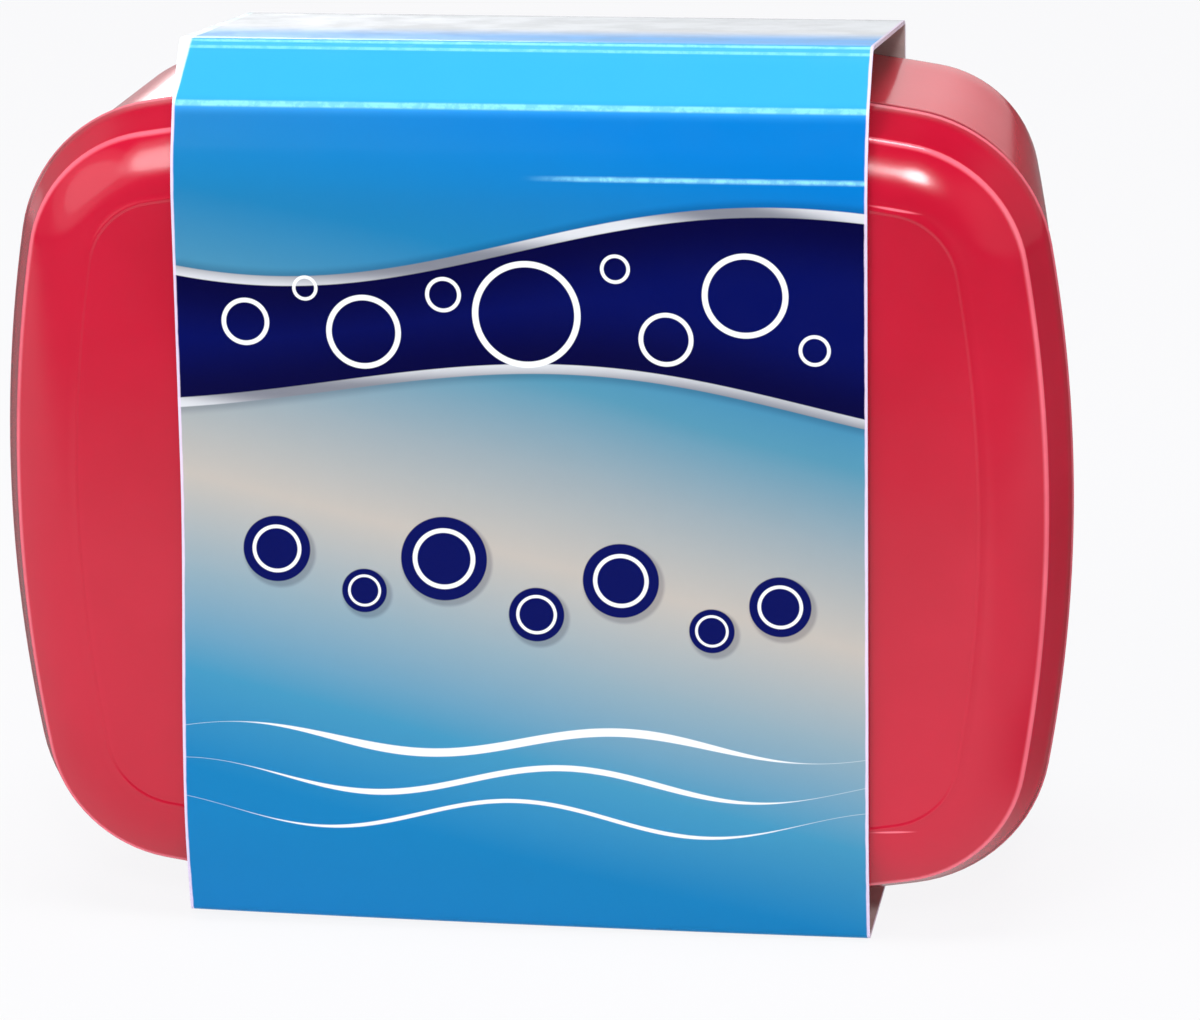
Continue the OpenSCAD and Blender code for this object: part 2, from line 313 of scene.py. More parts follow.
def baseLoop(bm, y, more):
    # the base's outline y mm behind the parting plane, more mm inside its outer wall
    s = y / base["depth"]
    side, top, low = (base["inset"] + base[k] * s + more for k in ("sideDraft", "hingeDraft", "catchDraft"))
    frontR = rim["cornerR"] - base["inset"]
    return outlineLoop(bm, y, side, top, low, frontR - (frontR - base["backCornerR"]) * s - more)


def makeBase():
    bm = bmesh.new()
    innerY = base["depth"] - base["wall"]
    r = base["edgeRound"]
    loops = [baseLoop(bm, innerY - away, base["wall"] + inset)
             for away, inset in reversed(quarterTurn(base["floorFillet"], base["floorSteps"]))]
    loops.append(baseLoop(bm, base["lipRoot"] + base["lipRunout"], base["wall"]))
    lipIn = lid["wall"] + base["lipGap"]
    tip = lipIn + base["lipDepth"] * lidLean
    loops.append(evenLoop(bm, base["lipRoot"], tip + base["lipWall"]))
    loops.append(evenLoop(bm, rim["dish"] - base["lipDepth"], tip + base["lipWall"]))
    loops.append(evenLoop(bm, -base["lipDepth"], tip + r))
    loops.append(evenLoop(bm, r - base["lipDepth"], tip))
    loops.append(evenLoop(bm, base["rimGap"] + rim["dish"], lipIn))
    loops += [baseLoop(bm, base["rimGap"] + away, inset) for inset, away in quarterTurn(r, base["edgeSteps"])]
    loops += [baseLoop(bm, y, 0) for y in base["wallRows"]]
    loops += [baseLoop(bm, base["depth"] - away, inset)
              for away, inset in quarterTurn(base["backFillet"], base["filletSteps"])]
    bridgeAll(bm, loops)
    capLoop(bm, loops[0])
    capLoop(bm, loops[-1])
    addKnuckles(bm, 0, 1, base["inset"], base["hingeDraft"] / base["depth"])
    return finishMesh(bm, "baseShell")


sleeve = {
    "width": 66.8, "card": 0.4, "grid": 2.4,
    # (y, z, rounding) down the outside of the strip, from the glued flap to the free edge of the back panel
    "strip": [
        (30.62, 29.6, 0), (30.62, 41.64, 0.45), (-2.6, 45.3, 0.7), (-7.0, 39.9, 0.75), (-9.1, 33.45, 2.5),
        (-9.1, -33.45, 2.5), (-7.8, -42.4, 0.7), (31.05, -42.4, 0.55), (31.05, 41.25, 0),
    ],
    "skew": 0.75, "skewFrom": 5, "skewTo": -30,   # how far the lower left corner is out, and over what z
    "lift": 0.7, "ease": 0.2,   # how far that corner and the whole lower fold have moved up
    "drawnIn": 0.12, "drawnTo": 32,   # the front panel goes in between its bends, over this z up and down
}


def shareOf(value, start, end):
    # 0 at start, 1 at end, and held beyond them
    return max(0.0, min(1.0, (value - start) / (end - start)))


def bendCard(bm):
    # the card isn't quite flat or square
    flat = bm.verts.layers.float_vector.new("flatAt")   # the print is laid out on the card before it is bent
    half = sleeve["width"] / 2
    frontY, bendZ = sleeve["strip"][5][:2]
    lowFrontY, lowZ = sleeve["strip"][6][:2]
    backY = sleeve["strip"][7][0]
    for v in bm.verts:
        v[flat] = v.co
        x, y, z = v.co.x * 1000, v.co.y * 1000 - rim["planeY"], v.co.z * 1000 - rim["middleZ"]
        left = (1 - x / half) / 2
        near = shareOf(y, backY, lowFrontY)
        down = shareOf(z, sleeve["skewFrom"], sleeve["skewTo"])
        foot = shareOf(z, bendZ, lowZ)
        v.co.x -= 0.001 * sleeve["skew"] * left * near * down * down * (3 - 2 * down)
        v.co.z += 0.001 * (sleeve["ease"] + sleeve["lift"] * left * left) * near * foot
        if y < frontY + 0.2 and abs(z) < sleeve["drawnTo"]:
            wave = 0.5 + 0.5 * math.sin(x * 0.16 + 0.6) * math.cos(z * 0.09)
            v.co.y += 0.001 * sleeve["drawnIn"] * math.cos(math.pi * z / 2 / sleeve["drawnTo"]) * wave


def gridCuts(low, high, normal):
    # planes one grid step apart between two ends of the sleeve
    step = sleeve["grid"]
    return [(spot(*(k * step * n for n in normal)), normal)
            for k in range(math.ceil(low / step), math.floor(high / step) + 1)]


def makeSleeve():
    bm = bmesh.new()
    half = sleeve["width"] / 2
    line = [bm.verts.new(spot(-half, y, z)) for y, z, _ in sleeve["strip"]]
    edges = [bm.edges.new(pair) for pair in zip(line, line[1:])]
    grown = bmesh.ops.extrude_edge_only(bm, edges=edges)
    moved = [g for g in grown["geom"] if isinstance(g, bmesh.types.BMVert)]
    bmesh.ops.translate(bm, verts=moved, vec=(sleeve["width"] * 0.001, 0, 0))
    bmesh.ops.recalc_face_normals(bm, faces=bm.faces)
    for y, z, r in sleeve["strip"]:
        if r:
            at = spot(0, y, z)
            fold = [e for e in bm.edges if len(e.link_faces) == 2
                    and all((v.co.yz - at.yz).length < 1e-6 for v in e.verts)]
            bmesh.ops.bevel(bm, geom=fold, offset=r * 0.001, segments=6, profile=0.5,
                            affect="EDGES", material=-1)
    ys, zs = ([row[k] for row in sleeve["strip"]] for k in (0, 1))
    cuts = gridCuts(-half, half, (1, 0, 0)) + gridCuts(min(zs), max(zs), (0, 0, 1))
    cuts += gridCuts(min(ys), max(ys), (0, 1, 0))
    for place, normal in cuts:
        bmesh.ops.bisect_plane(bm, geom=list(bm.verts) + list(bm.edges) + list(bm.faces), dist=1e-7,
                               plane_co=place, plane_no=normal)
    middle = spot(0, (min(ys) + max(ys)) / 2, 0)
    outward = sum((f.normal.dot(f.calc_center_median() - middle)) * f.calc_area() for f in bm.faces)
    if outward < 0:
        bmesh.ops.reverse_faces(bm, faces=bm.faces)
    bendCard(bm)
    printed = set(bm.faces)
    bmesh.ops.solidify(bm, geom=list(bm.faces), thickness=sleeve["card"] * 0.001)
    for f in bm.faces:   # 0 is the printed side, 1 the raw cut edge, 2 the plain inside
        beside = any(g in printed for e in f.edges for g in e.link_faces)
        f.material_index = 0 if f in printed else 1 if beside else 2
    return finishMesh(bm, "cardSleeve", 60)


def startMaterial(name):
    mat = bpy.data.materials.new(name)
    mat.use_nodes = True
    tree = mat.node_tree
    return mat, tree, tree.nodes["Principled BSDF"]


def addNode(tree, kind, settings=None, **inputs):
    # inputs are socket names or numbers (as in0, in1) with values or other nodes' sockets
    node = tree.nodes.new(kind)
    for key, value in (settings or {}).items():
        setattr(node, key, value)
    for key, value in inputs.items():
        socket = node.inputs[int(key[2:])] if key[:2] == "in" and key[2:].isdigit() else node.inputs[key]
        if isinstance(value, bpy.types.NodeSocket):
            tree.links.new(value, socket)
        else:
            socket.default_value = value
    return node


def calc(tree, operation, a, b=0.0):
    return addNode(tree, "ShaderNodeMath", {"operation": operation}, in0=a, in1=b).outputs[0]


def remap(tree, value, low, high, toLow=0.0, toHigh=1.0, kind="SMOOTHSTEP"):
    return addNode(tree, "ShaderNodeMapRange", {"interpolation_type": kind}, in0=value, in1=low, in2=high,
                   in3=toLow, in4=toHigh).outputs[0]


def mixValue(tree, factor, a, b):
    return addNode(tree, "ShaderNodeMix", {"data_type": "FLOAT"}, in0=factor, in2=a, in3=b).outputs[0]


def mixColor(tree, factor, a, b):
    node = addNode(tree, "ShaderNodeMix", {"data_type": "RGBA"}, in0=factor)
    for socket, value in ((node.inputs[6], a), (node.inputs[7], b)):
        if isinstance(value, bpy.types.NodeSocket):
            tree.links.new(value, socket)
        else:
            socket.default_value = (*value, 1)
    return node.outputs[2]


def distance(tree, a, b):
    return addNode(tree, "ShaderNodeVectorMath", {"operation": "DISTANCE"}, in0=a, in1=b).outputs["Value"]


def objectCoords(tree):
    return addNode(tree, "ShaderNodeTexCoord").outputs["Object"]


def noise(tree, coords, scale, detail=3.0, rough=0.5):
    return addNode(tree, "ShaderNodeTexNoise", Vector=coords, Scale=scale, Detail=detail,
                   Roughness=rough).outputs[0]


def stretched(tree, coords, scale, turn=(0, 0, 0)):
    return addNode(tree, "ShaderNodeMapping", Vector=coords, Scale=scale, Rotation=turn).outputs[0]


def bumpOf(tree, height, strength, depth, under=None):
    node = addNode(tree, "ShaderNodeBump", Height=height, Strength=strength, Distance=depth)
    if under is not None:
        tree.links.new(under, node.inputs["Normal"])
    return node.outputs[0]


plasticLooks = {
    # the deep and the light red of each shell
    "lidReds": ((0.45, 0.004, 0.024), (0.51, 0.007, 0.032)),
    "baseReds": ((0.59, 0.022, 0.045), (0.66, 0.028, 0.055)),
    # the pink of the painted highlights, and the dark maroon of the painted shadow on the base behind the
    # lid's rim
    "edge": (1.0, 0.20, 0.27), "rimShadow": (0.30, 0.004, 0.022),
    # painted lines along the moulded edges, pink painted highlights on the lid and a dark painted shadow on
    # the base: y and half width in mm, strength, colour
    "lidHighlightLines": [(-6.0, 0.34, 0.75, "edge"), (-0.35, 0.42, 0.85, "edge")],
    "baseShadowLines": [(2.0, 1.4, 1.0, "rimShadow")],
    # painted highlights: short glints on the lid beside the sleeve, x, z, slope, half length and half width
    "paintedGlints": [(35.9, 30.8, -0.16, 3.0, 0.19), (35.7, -30.9, 0.05, 2.7, 0.14)],
    "glintsIn": (-0.016, -0.018),   # they show from the first of these depths (m) on, and fully at the second
    "roughness": (0.10, 0.17), "scuffed": 0.03, "shadowMatte": 0.6,   # the painted shadow behind the rim is made rougher too, so that it doesn't shine
    "ior": 1.49, "subsurface": 0.05, "subsurfaceRadius": (1.0, 0.25, 0.25), "subsurfaceScale": 0.0015,
}


def mouldedPlastic(name, reds, paintedEdgeLines):
    # glossy polypropylene, with painted highlights on the lid's edges and beside the sleeve, and a painted
    # shadow on the base behind the lid's rim
    look = plasticLooks
    mat, tree, shader = startMaterial(name)
    coords = objectCoords(tree)
    color = mixColor(tree, remap(tree, noise(tree, coords, 34.0, 3.0, 0.55), 0.3, 0.7), *reds)
    x, depth, z = addNode(tree, "ShaderNodeSeparateXYZ", Vector=coords).outputs
    patchy = remap(tree, noise(tree, coords, 90.0, 2.0), 0.3, 0.62, 0.8, 1.0)
    dull = 0.0
    # painted highlight lines on the lid, and a painted shadow line on the base
    for y, width, strength, tint in paintedEdgeLines:
        away = calc(tree, "ABSOLUTE", calc(tree, "SUBTRACT", depth, (y + rim["planeY"]) * 0.001))
        line = calc(tree, "MULTIPLY", remap(tree, away, width * 0.0003, width * 0.001, 1.0, 0.0), strength)
        color = mixColor(tree, calc(tree, "MULTIPLY", line, patchy), color, look[tint])
        # the painted shadow is made rougher too, so that it doesn't shine
        if tint == "rimShadow":
            dull = calc(tree, "MULTIPLY", line, look["shadowMatte"])
    # painted glints on the lid beside the sleeve, in the pink of the painted highlights
    inGlints = remap(tree, depth, *look["glintsIn"])
    for glintX, glintZ, slope, length, width in look["paintedGlints"]:
        along = calc(tree, "SUBTRACT", calc(tree, "MULTIPLY", x, 1000.0), glintX)
        line = calc(tree, "SUBTRACT", calc(tree, "MULTIPLY", z, 1000.0), glintZ + rim["middleZ"])
        line = calc(tree, "SUBTRACT", line, calc(tree, "MULTIPLY", along, slope))
        away = addNode(tree, "ShaderNodeCombineXYZ", X=calc(tree, "DIVIDE", along, length),
                       Y=calc(tree, "DIVIDE", line, width)).outputs[0]
        glint = remap(tree, distance(tree, away, (0, 0, 0)), 0.3, 1.0, 0.8, 0.0)
        color = mixColor(tree, calc(tree, "MULTIPLY", glint, inGlints), color, look["edge"])
    tree.links.new(color, shader.inputs["Base Color"])
    hair = noise(tree, stretched(tree, coords, (260, 260, 2600), (0.2, 0.5, 0.3)), 1.0, 2.0)
    scuffs = calc(tree, "MULTIPLY", remap(tree, hair, 0.66, 0.74), look["scuffed"])
    rough = remap(tree, noise(tree, coords, 55.0, 4.0, 0.6), 0.3, 0.7, *look["roughness"])
    rough = calc(tree, "ADD", calc(tree, "ADD", rough, scuffs), dull)
    tree.links.new(rough, shader.inputs["Roughness"])
    normal = bumpOf(tree, noise(tree, coords, 48.0, 1.5), 0.35, 0.0003)      # slight sink of the moulding
    normal = bumpOf(tree, noise(tree, coords, 620.0, 2.0), 0.10, 0.00006, normal)   # orange peel
    tree.links.new(normal, shader.inputs["Normal"])
    shader.inputs["IOR"].default_value = look["ior"]
    shader.inputs["Subsurface Weight"].default_value = look["subsurface"]
    shader.inputs["Subsurface Radius"].default_value = look["subsurfaceRadius"]
    shader.inputs["Subsurface Scale"].default_value = look["subsurfaceScale"]
    return mat


printLooks = {
    # the wash across the card: (mm above the pale band's middle, colour)
    "wash": [(-48, (0.010, 0.18, 0.46)), (-30, (0.008, 0.185, 0.43)), (-20, (0.050, 0.26, 0.44)),
             (-10, (0.24, 0.35, 0.42)), (0, (0.47, 0.435, 0.40)), (9, (0.28, 0.345, 0.385)),
             (18, (0.078, 0.26, 0.385)), (29, (0.012, 0.185, 0.41)), (44, (0.002, 0.165, 0.52))],
    "washMiddle": -4.3, "washTilt": 0.244, "washDrift": 3.0,
    # the top of the sleeve turns a lighter blue over topFrom (z, mm): painted light from above
    "litTopColor": (0.036, 0.365, 0.86), "topFrom": (38.6, 40.6),
    "navy": (0.0015, 0.004, 0.090), "navyDeep": (0.0015, 0.0015, 0.040),
    "silver": (0.62, 0.64, 0.68), "silverDark": (0.19, 0.20, 0.24), "white": (0.83, 0.86, 0.90),
    "artFront": (-6.6, -7.0), "artBelow": (38.5, 38.2),   # the artwork is on the front panel, by y and z
    "soft": 0.06,   # how soft the artwork's edges are
    # a navy wave across the panel: middle, swing, pitch, phase, then the same for its half height
    "wave": (19.6, 2.3, 0.072, 0.55), "waveHalf": (7.2, 2.5, 0.058, -0.75), "waveRim": 0.95,
    # rings as (x, z, radius, share of the radius that is open)
    "waveRings": [(-26.5, 19.0, 2.3, 0.82), (-20.6, 22.4, 1.2, 0.76), (-15.0, 18.2, 3.6, 0.86),
                  (-7.2, 22.0, 1.7, 0.80), (0.8, 20.2, 5.2, 0.89), (9.4, 24.8, 1.4, 0.78),
                  (14.2, 18.0, 2.6, 0.84), (21.8, 22.4, 4.1, 0.87), (28.4, 17.2, 1.5, 0.79)],
    # round drops as (x, z, radius), each with a ring inside: share of the radius, and share that is open
    "drops": [(-24.0, -3.6, 3.3), (-15.4, -7.6, 2.2), (-7.6, -4.2, 4.2), (1.4, -9.6, 2.7), (9.6, -6.0, 3.7),
              (18.4, -10.8, 2.2), (25.0, -8.2, 3.0)],
    "dropRing": (0.72, 0.86),
    # thin lines as (z, half height, swing, phase), pointed towards both ends of the panel by x
    "lines": [(-22.6, 0.42, 1.3, 0.0), (-26.6, 0.30, 1.5, 0.9), (-30.2, 0.20, 1.6, 1.7)],
    "linePitch": 0.17, "lineEnd": 30, "lineFull": 12,
    "shade": (0.30, 0.35),   # strength of the soft shade round the wave and behind the drops
    "backWhite": (0.70, 0.73, 0.77), "fade": (3.0, 14.0),   # over this y the print fades to the plain back
    # pale lines along the folds, cracked ink with a painted highlight on the fold: y, z, half width of the
    # line, strength, and from which x it shows
    "folds": [(30.62, 41.64, 0.40, 0.20, -40), (-2.6, 45.3, 0.42, 0.75, -40), (-3.17, 44.6, 0.22, 0.45, -40),
              (-7.0, 39.9, 0.42, 0.62, -40), (-9.1, 33.45, 0.42, 0.80, 0), (-7.8, -42.4, 0.35, 0.40, -40),
              (31.05, -42.4, 0.40, 0.30, -40)],
    "foldColor": (0.33, 0.82, 0.98), "foldStart": 9,   # a line that starts on the panel comes in over this
    "edgeWhite": 0.26, "edgeColor": (0.74, 0.62, 0.82), "ragged": 0.14,   # the bare border of the cut edges
    # the top's left edge is curled and catches the light: a pale painted highlight along it, z and width at
    # its foot and its top
    "leftTopHighlight": (39.9, 45.3, 0.25, 1.25), "leftTopHighlightColor": (0.80, 0.97, 1.0),
    "wearAndHighlight": 0.9,   # how much of the ink is gone along the edges, and how strong the painted highlight on the top's left edge is
    "roughness": (0.12, 0.20), "ior": 1.5, "specular": 0.05,
}


def printedCard():
    look = printLooks
    mat, tree, shader = startMaterial("printedCard")
    coords = addNode(tree, "ShaderNodeAttribute", {"attribute_name": "flatAt"}).outputs["Vector"]
    scaled = addNode(tree, "ShaderNodeVectorMath", {"operation": "SCALE"}, Vector=coords, Scale=1000.0)
    local = addNode(tree, "ShaderNodeVectorMath", {"operation": "SUBTRACT"}, in0=scaled.outputs[0],
                    in1=(0, rim["planeY"], rim["middleZ"])).outputs[0]
    x, y, z = addNode(tree, "ShaderNodeSeparateXYZ", Vector=local).outputs
    onFront = calc(tree, "MULTIPLY", remap(tree, y, *look["artFront"]), remap(tree, z, *look["artBelow"]))

    wash = calc(tree, "SUBTRACT", z, look["washMiddle"])
    wash = calc(tree, "ADD", wash, calc(tree, "MULTIPLY", x, look["washTilt"]))
    drift = calc(tree, "SUBTRACT", noise(tree, coords, 20.0, 1.0), 0.5)
    wash = calc(tree, "ADD", wash, calc(tree, "MULTIPLY", drift, look["washDrift"]))
    low, high = look["wash"][0][0], look["wash"][-1][0]
    ramp = addNode(tree, "ShaderNodeValToRGB", in0=remap(tree, wash, low, high, kind="LINEAR"))
    stops = ramp.color_ramp.elements
    for at, color in look["wash"][1:-1]:
        stops.new((at - low) / (high - low))
    for stop, (at, color) in zip(stops, look["wash"]):
        stop.color = (*color, 1)
    # the lighter blue on the top is painted light from above
    color = mixColor(tree, remap(tree, z, *look["topFrom"]), ramp.outputs[0], look["litTopColor"])

    def swing(middle, height, pitch, phase):
        turn = calc(tree, "ADD", calc(tree, "MULTIPLY", x, pitch), phase)
        return calc(tree, "ADD", calc(tree, "MULTIPLY", calc(tree, "SINE", turn), height), middle)

    def lay(mask, top):
        return mixColor(tree, calc(tree, "MULTIPLY", mask, onFront), color, top)

    def inside(away):
        # 1 where away, a distance past an edge, is below nought
        return remap(tree, away, look["soft"], -look["soft"])

    def fromPoint(cx, cz):
        return distance(tree, addNode(tree, "ShaderNodeCombineXYZ", X=x, Z=z).outputs[0], (cx, 0, cz))

    def ringMask(cx, cz, r, hole):
        d = fromPoint(cx, cz)
        return calc(tree, "MULTIPLY", remap(tree, d, r + 0.08, r - 0.02),
                    remap(tree, d, r * hole - 0.05, r * hole + 0.05))

    waveShade, dropShade = look["shade"]
    rise = calc(tree, "SUBTRACT", z, swing(*look["wave"]))
    over = calc(tree, "SUBTRACT", calc(tree, "ABSOLUTE", rise), swing(*look["waveHalf"]))
    around = remap(tree, over, look["waveRim"] + 1.0, look["waveRim"])
    color = lay(calc(tree, "MULTIPLY", around, waveShade), look["navyDeep"])
    sheen = calc(tree, "SINE", calc(tree, "ADD", calc(tree, "MULTIPLY", x, 0.11), rise))
    silver = mixColor(tree, remap(tree, sheen, -1.0, 1.0), look["silverDark"], look["silver"])
    color = lay(inside(calc(tree, "SUBTRACT", over, look["waveRim"])), silver)
    color = lay(inside(over), mixColor(tree, remap(tree, over, -7.0, 0.0), look["navy"], look["navyDeep"]))
    for ring in look["waveRings"]:
        color = lay(ringMask(*ring), look["white"])
    ringShare, ringHole = look["dropRing"]
    for cx, cz, r in look["drops"]:
        behind = remap(tree, fromPoint(cx + 0.3, cz - 0.35), r + 0.45, r)
        color = lay(calc(tree, "MULTIPLY", behind, dropShade), look["navyDeep"])
        color = lay(inside(calc(tree, "SUBTRACT", fromPoint(cx, cz), r)), look["navy"])
        color = lay(ringMask(cx, cz, r * ringShare, ringHole), look["white"])
    end, full = look["lineEnd"], look["lineFull"]
    taper = calc(tree, "MULTIPLY", remap(tree, x, -end, -full), remap(tree, x, end, full))
    for level, half, height, phase in look["lines"]:
        middle = swing(level, height, look["linePitch"], phase)
        away = calc(tree, "ABSOLUTE", calc(tree, "SUBTRACT", z, middle))
        color = lay(inside(calc(tree, "SUBTRACT", away, calc(tree, "MULTIPLY", taper, half))), look["white"])
    color = mixColor(tree, remap(tree, y, *look["fade"]), color, look["backWhite"])

    # pale lines along the folds, cracked ink with a painted highlight on each fold; the ink is scuffed off
    # along the cut edges
    speck = remap(tree, noise(tree, coords, 700.0, 4.0, 0.7), 0.36, 0.62)
    inStrip = addNode(tree, "ShaderNodeCombineXYZ", Y=y, Z=z).outputs[0]
    for foldY, foldZ, half, strength, fromX in look["folds"]:
        fromFold = distance(tree, inStrip, (0, foldY, foldZ))
        wearAndHighlight = calc(tree, "MULTIPLY", remap(tree, fromFold, half, half * 0.45),
                    remap(tree, x, fromX, fromX + look["foldStart"]))
        wearAndHighlight = calc(tree, "MULTIPLY", wearAndHighlight, remap(tree, speck, 0, 1, strength * 0.6, strength))
        color = mixColor(tree, wearAndHighlight, color, look["foldColor"])
    fromEdge = calc(tree, "SUBTRACT", sleeve["width"] / 2, calc(tree, "ABSOLUTE", x))
    ragged = calc(tree, "MULTIPLY", noise(tree, coords, 420.0, 3.0), look["ragged"])
    bare = remap(tree, calc(tree, "SUBTRACT", fromEdge, ragged), look["edgeWhite"], look["edgeWhite"] * 0.5)
    color = mixColor(tree, calc(tree, "MULTIPLY", bare, look["wearAndHighlight"]), color, look["edgeColor"])
    # the painted highlight along the top's left edge
    foot, top, narrow, wide = look["leftTopHighlight"]
    reach = remap(tree, z, foot, top, narrow, wide, "LINEAR")
    fromLeft = calc(tree, "SUBTRACT", calc(tree, "ADD", x, sleeve["width"] / 2), ragged)
    leftTopHighlight = calc(tree, "MULTIPLY", remap(tree, calc(tree, "DIVIDE", fromLeft, reach), 1.0, 0.7),
                remap(tree, z, foot - 0.2, foot))
    color = mixColor(tree, calc(tree, "MULTIPLY", leftTopHighlight, look["wearAndHighlight"]), color, look["leftTopHighlightColor"])
    tree.links.new(color, shader.inputs["Base Color"])
    rough = remap(tree, noise(tree, coords, 160.0, 4.0, 0.65), 0.3, 0.7, *look["roughness"])
    tree.links.new(rough, shader.inputs["Roughness"])
    waviness = noise(tree, stretched(tree, coords, (22, 30, 34)), 1.0, 1.0)
    fibre = noise(tree, coords, 900.0, 3.0, 0.6)
    normal = bumpOf(tree, fibre, 0.04, 0.00003, bumpOf(tree, waviness, 0.25, 0.0002))
    tree.links.new(normal, shader.inputs["Normal"])
    shader.inputs["IOR"].default_value = look["ior"]
    shader.inputs["Specular IOR Level"].default_value = look["specular"]
    return mat


bareCard = {
    # pale and dull colour, and how the fibres are stretched
    "cutCardEdge": ((0.80, 0.72, 0.84), (0.66, 0.58, 0.70), (1500, 1500, 300)),
    # the inside is a warm grey board, made darker than plain white card as painted shade for the dim inside
    # of the sleeve
    "cardInside": ((0.58, 0.545, 0.52), (0.50, 0.465, 0.44), (420, 300, 900)),
}


def plainCard(name):
    pale, dull, grain = bareCard[name]
    mat, tree, shader = startMaterial(name)
    fibre = noise(tree, stretched(tree, objectCoords(tree), grain), 1.0, 5.0, 0.65)
    tree.links.new(mixColor(tree, remap(tree, fibre, 0.3, 0.7), dull, pale), shader.inputs["Base Color"])
    tree.links.new(remap(tree, fibre, 0.3, 0.7, 0.72, 0.92), shader.inputs["Roughness"])
    tree.links.new(bumpOf(tree, fibre, 0.3, 0.00008), shader.inputs["Normal"])
    return mat


def drawnSteel():
    mat, tree, shader = startMaterial("drawnSteel")
    lines = noise(tree, stretched(tree, objectCoords(tree), (60, 4000, 4000)), 1.0, 3.0)
    tree.links.new(mixColor(tree, lines, (0.42, 0.42, 0.44), (0.66, 0.66, 0.68)), shader.inputs["Base Color"])
    tree.links.new(remap(tree, lines, 0.3, 0.7, 0.22, 0.42), shader.inputs["Roughness"])
    tree.links.new(bumpOf(tree, lines, 0.2, 0.00003), shader.inputs["Normal"])
    shader.inputs["Metallic"].default_value = 1.0
    return mat


lidShell = makeLid()
baseShell = makeBase()
cardSleeve = makeSleeve()
print("shells and sleeve modelled")

for piece, body, node, finish in ((lidShell, "base", "lid_shell", "lid_plastic"),
                                  (baseShell, "base", "base_shell", "base_plastic"),
                                  (cardSleeve, "sleeve", "card_sleeve", "sleeve_card")):
    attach(piece, body)
    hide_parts(node)
    low = [min(v.co[k] for v in piece.data.vertices) * 1000 for k in range(3)]
    high = [max(v.co[k] for v in piece.data.vertices) * 1000 for k in range(3)]
    cadLow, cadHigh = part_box(node)
    print(piece.name, len(piece.data.polygons), [round(v, 2) for v in low], [round(v, 2) for v in high],
          "cad", [round(v * 1000, 2) for v in cadLow], [round(v * 1000, 2) for v in cadHigh])

for mat in (printedCard(), plainCard("cutCardEdge"), plainCard("cardInside")):
    cardSleeve.data.materials.append(mat)
for piece, name, reds, lines in ((lidShell, "lidPlastic", "lidReds", "lidHighlightLines"),
                                 (baseShell, "basePlastic", "baseReds", "baseShadowLines")):
    piece.data.materials.append(mouldedPlastic(name, plasticLooks[reds], plasticLooks[lines]))
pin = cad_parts["hinge_pin"]
pin.data.materials.clear()
pin.data.materials.append(drawnSteel())
print("materials made")

studio = {
    "floorSize": 12, "floorColor": (0.86, 0.86, 0.865), "floorRoughness": 0.85, "floorSpecular": 0.1,
    # the floor's plain glow, as share and strength: seen by the camera, and thrown up at the case
    "glowColor": (0.985, 0.985, 1.0), "seenGlow": (0.93, 0.975), "bounce": (0.30, 1.0), "mirroredShare": 0.9,
    # mirrored, the floor is dark in front of the case: from and to these distances (m), down to this share
    "darkFrom": -0.13, "darkTo": -0.27, "dark": 0.09,
    "rightFrom": 0.05, "rightTo": 0.09, "right": 0.10,   # and it is dimmer on the right,
    "backFrom": -0.025, "backTo": 0.01, "back": 0.15,   # and close behind,
    "farFrom": 0.35, "farTo": 0.60, "far": 0.5,   # but less so far behind
    # the air round the case: its light on surfaces, its share straight up, and what mirrors see of it
    "ambient": 0.20, "zenith": 0.12, "sides": 0.28, "behind": 0.85, "aside": 0.55,
    # name: place (m), aim (m), size (m), watts
    "lamps": {
        "keySoftbox": ((-0.396, -1.032, 0.824), (0, 0, 0.05), (0.36, 0.62), 3.9),
        "keyHalo": ((-0.396, -1.042, 0.834), (0, 0, 0.05), (0.60, 0.86), 1.8),
        "sideSoftbox": ((0.201, -1.14, 0.79), (0, 0, 0.05), (0.24, 0.27), 5.4),
        "sideHalo": ((0.221, -1.15, 0.80), (0, 0, 0.05), (0.50, 0.60), 0.8),
        "leftSoftbox": ((-0.864, -0.864, 0.495), (0, 0, 0.05), (0.70, 0.60), 1.1),
        "leftHalo": ((-0.874, -0.874, 0.505), (0, 0, 0.05), (1.20, 0.95), 1.3),
        "topSoftbox": ((0.0, -0.15, 1.45), (0, 0, 0.05), (0.9, 0.5), 17.0),
        "rightSoftbox": ((1.25, -0.20, 0.45), (0, 0, 0.05), (1.0, 1.0), 3.0),
        "rimSoftbox": ((-0.40, 1.46, 0.30), (0, 0, 0.06), (0.40, 0.30), 1.3),
    },
}


def rayKinds(tree):
    # whether the camera sees the surface, and whether a mirror does
    path = addNode(tree, "ShaderNodeLightPath").outputs
    return path["Is Camera Ray"], calc(tree, "MAXIMUM", path["Is Glossy Ray"], path["Is Transmission Ray"])


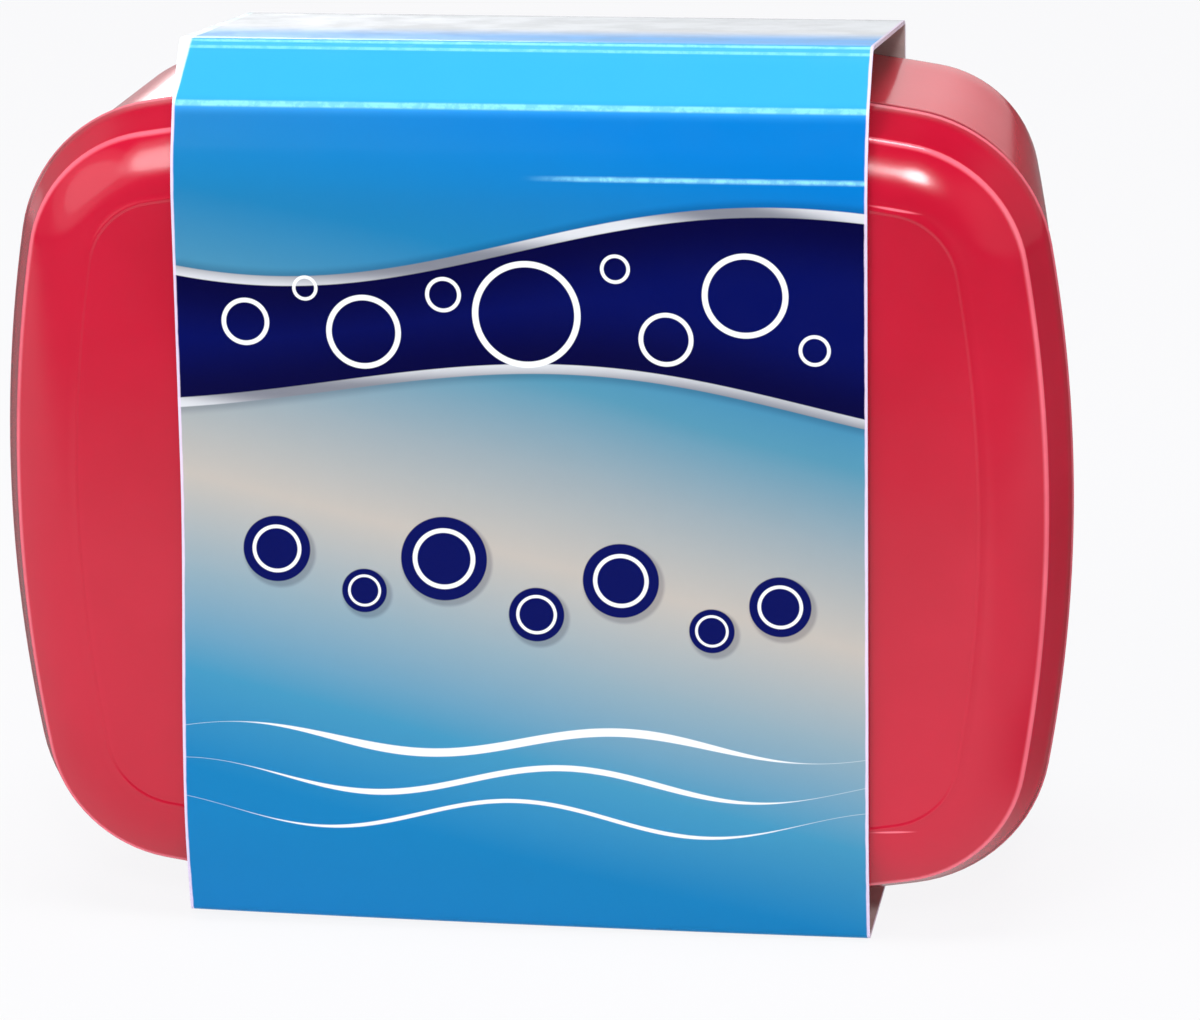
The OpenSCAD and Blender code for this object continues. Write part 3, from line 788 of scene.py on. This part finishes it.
def makeFloor():
    bpy.ops.mesh.primitive_plane_add(size=studio["floorSize"])
    floor = bpy.context.object
    floor.name = "studioFloor"
    mat, tree, shader = startMaterial("paleFloor")
    shader.inputs["Base Color"].default_value = (*studio["floorColor"], 1)
    shader.inputs["Roughness"].default_value = studio["floorRoughness"]
    shader.inputs["Specular IOR Level"].default_value = studio["floorSpecular"]
    seen, mirrored = rayKinds(tree)
    across, along, _ = addNode(tree, "ShaderNodeSeparateXYZ", Vector=objectCoords(tree)).outputs
    inFront = remap(tree, along, studio["darkTo"], studio["darkFrom"], studio["dark"], 1.0)
    onRight = calc(tree, "MULTIPLY", remap(tree, across, studio["rightFrom"], studio["rightTo"]),
                   remap(tree, along, -0.07, -0.02, 0.35, 1.0))
    close = remap(tree, along, studio["backFrom"], studio["backTo"], 1.0, studio["back"])
    close = mixValue(tree, remap(tree, along, studio["farFrom"], studio["farTo"]), close, studio["far"])
    lit = calc(tree, "MULTIPLY", inFront, mixValue(tree, onRight, 1.0, studio["right"]))
    lit = calc(tree, "MULTIPLY", lit, close)
    (seenShare, seenPower), (share, power) = studio["seenGlow"], studio["bounce"]
    share = mixValue(tree, mirrored, mixValue(tree, seen, share, seenShare), studio["mirroredShare"])
    power = mixValue(tree, mirrored, mixValue(tree, seen, power, seenPower), lit)
    glow = addNode(tree, "ShaderNodeEmission", Color=(*studio["glowColor"], 1), Strength=power)
    both = addNode(tree, "ShaderNodeMixShader", in0=share, in1=shader.outputs[0], in2=glow.outputs[0])
    tree.links.new(both.outputs[0], tree.nodes["Material Output"].inputs["Surface"])
    floor.data.materials.append(mat)


def makeLamps():
    for name, (place, aim, size, watts) in studio["lamps"].items():
        data = bpy.data.lights.new(name, "AREA")
        data.shape = "ELLIPSE"
        data.size, data.size_y = size
        data.energy = watts
        lamp = bpy.data.objects.new(name, data)
        lamp.location = place
        lamp.rotation_euler = (Vector(aim) - Vector(place)).to_track_quat("-Z", "Y").to_euler()
        bpy.context.scene.collection.objects.link(lamp)


def makeAir():
    # mirrored, the air is bright behind and to the left, dim at the sides and dark in front
    world = bpy.data.worlds.new("studioAir")
    bpy.context.scene.world = world
    world.use_nodes = True
    tree = world.node_tree
    sky = tree.nodes["Background"]
    way = addNode(tree, "ShaderNodeTexCoord").outputs["Generated"]
    wayX, wayY, wayZ = addNode(tree, "ShaderNodeSeparateXYZ", Vector=way).outputs
    camera, mirrored = rayKinds(tree)
    seen = calc(tree, "MAXIMUM", camera, mirrored)
    behind = calc(tree, "MULTIPLY", remap(tree, wayX, -0.50, -0.25, studio["sides"], studio["behind"]),
                  remap(tree, wayX, 0.0, 0.26, 1.0, studio["sides"]))
    front = remap(tree, calc(tree, "ABSOLUTE", wayX), 0.22, 0.60, studio["dark"], studio["aside"])
    lit = mixValue(tree, mirrored, 1.0, mixValue(tree, remap(tree, wayY, -0.25, -0.70), behind, front))
    level = remap(tree, wayZ, 0.45, 0.70, 1.0, studio["zenith"])
    strength = calc(tree, "MULTIPLY", mixValue(tree, seen, studio["ambient"], lit), level)
    tree.links.new(strength, sky.inputs["Strength"])
    sky.inputs["Color"].default_value = (1, 1, 1, 1)


makeFloor()
makeLamps()
makeAir()
bpy.context.scene.view_settings.view_transform = "Standard"
print("studio lit")
